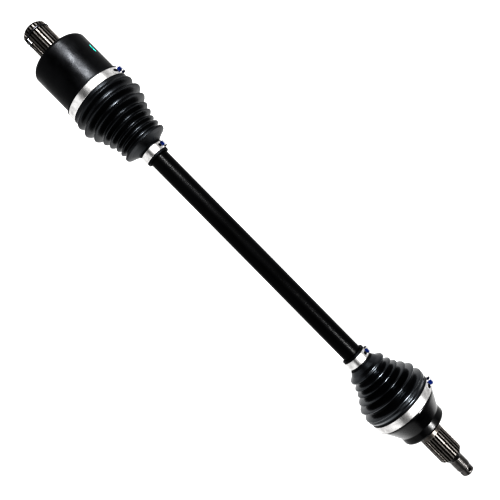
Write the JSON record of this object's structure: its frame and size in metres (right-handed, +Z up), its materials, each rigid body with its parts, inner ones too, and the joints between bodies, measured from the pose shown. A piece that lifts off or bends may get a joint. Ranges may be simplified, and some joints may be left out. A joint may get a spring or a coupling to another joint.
{
  "type": "cv axle",
  "caption": "Drive half-shaft: splined plunging ball joint with long cup, solid bar, fixed ball joint with splined cross-drilled stub, bellows boots and ear clamps.",
  "frame": {"origin": "middle of the footprint, on the table the axle lies on, under its two boots", "axes": "+X along the bar towards the wheel end, +Z up, clamp ears between +Y and +Z"},
  "size_m": [0.7452, 0.0888, 0.0888],
  "materials": {
    "bar_paint": "gloss black",
    "ground_steel": "ground",
    "spring_steel": "oil blackened",
    "ball_steel": "polished",
    "boot_rubber": "satin",
    "clamp_steel": "bright stainless",
    "cup_steel": "satin black",
    "bell_steel": "gloss black"
  },
  "bodies": {
    "shaft": {"axle_shaft": "bar_paint", "inner_race": "ground_steel", "inner_race_stop_ring": "spring_steel", "inner_race_circlip": "spring_steel", "outer_race": "ground_steel", "outer_race_stop_ring": "spring_steel", "outer_race_circlip": "spring_steel", "inner_boot_small_clamp": "clamp_steel", "outer_boot_small_clamp": "clamp_steel", "outer_boot": "boot_rubber"},
    "inner_carrier_bar_side": {"inner_ball_2": "ball_steel"},
    "inner_cage_set": {"inner_cage": "ground_steel", "inner_ball_1": "ball_steel", "inner_ball_3": "ball_steel", "inner_ball_4": "ball_steel", "inner_ball_6": "ball_steel"},
    "inner_carrier_cup_side": {"inner_ball_5": "ball_steel"},
    "inner_plunge_guide": {"inner_boot": "boot_rubber"},
    "inner_cup": {"inner_housing": "cup_steel", "inner_stub_snap_ring": "spring_steel", "inner_wire_ring": "spring_steel", "inner_boot_large_clamp": "clamp_steel"},
    "outer_carrier_bar_side": {"outer_ball_2": "ball_steel"},
    "outer_cage_set": {"outer_cage": "ground_steel", "outer_ball_1": "ball_steel", "outer_ball_3": "ball_steel", "outer_ball_4": "ball_steel", "outer_ball_6": "ball_steel"},
    "outer_carrier_bell_side": {"outer_ball_5": "ball_steel"},
    "outer_bell": {"outer_housing": "bell_steel", "outer_boot_large_clamp": "clamp_steel"}
  },
  "joints": [
    {"name": "inner_cage_pitch", "type": "hinge", "parent": "shaft", "child": "inner_carrier_bar_side", "pos_m": [-0.284, 0, 0.0444], "axis": [0, 1, 0], "range_deg": [-7.5, 7.5], "deforming": ["inner_boot"]},
    {"name": "inner_cage_yaw", "type": "hinge", "parent": "inner_carrier_bar_side", "child": "inner_cage_set", "pos_m": [-0.284, 0, 0.0444], "axis": [0, 0, 1], "range_deg": [-7.5, 7.5], "deforming": ["inner_boot"]},
    {"name": "inner_cup_yaw", "type": "hinge", "parent": "inner_cage_set", "child": "inner_carrier_cup_side", "pos_m": [-0.284, 0, 0.0444], "axis": [0, 0, 1], "range_deg": [-7.5, 7.5]},
    {"name": "inner_cup_pitch", "type": "hinge", "parent": "inner_carrier_cup_side", "child": "inner_plunge_guide", "pos_m": [-0.284, 0, 0.0444], "axis": [0, 1, 0], "range_deg": [-7.5, 7.5]},
    {"name": "inner_plunge", "type": "slide", "parent": "inner_plunge_guide", "child": "inner_cup", "axis": [1, 0, 0], "range_m": [-0.01, 0.01], "deforming": ["inner_boot"]},
    {"name": "outer_cage_pitch", "type": "hinge", "parent": "shaft", "child": "outer_carrier_bar_side", "pos_m": [0.263, 0, 0.0444], "axis": [0, 1, 0], "range_deg": [-13, 13], "deforming": ["outer_boot"]},
    {"name": "outer_cage_yaw", "type": "hinge", "parent": "outer_carrier_bar_side", "child": "outer_cage_set", "pos_m": [0.263, 0, 0.0444], "axis": [0, 0, 1], "range_deg": [-13, 13], "deforming": ["outer_boot"]},
    {"name": "outer_bell_yaw", "type": "hinge", "parent": "outer_cage_set", "child": "outer_carrier_bell_side", "pos_m": [0.263, 0, 0.0444], "axis": [0, 0, 1], "range_deg": [-13, 13]},
    {"name": "outer_bell_pitch", "type": "hinge", "parent": "outer_carrier_bell_side", "child": "outer_bell", "pos_m": [0.263, 0, 0.0444], "axis": [0, 1, 0], "range_deg": [-13, 13]}
  ],
  "couplings": [
    {"joint": "inner_cup_yaw", "follows": "inner_cage_yaw", "ratio": 1},
    {"joint": "inner_cup_pitch", "follows": "inner_cage_pitch", "ratio": 1},
    {"joint": "outer_bell_yaw", "follows": "outer_cage_yaw", "ratio": 1},
    {"joint": "outer_bell_pitch", "follows": "outer_cage_pitch", "ratio": 1}
  ]
}
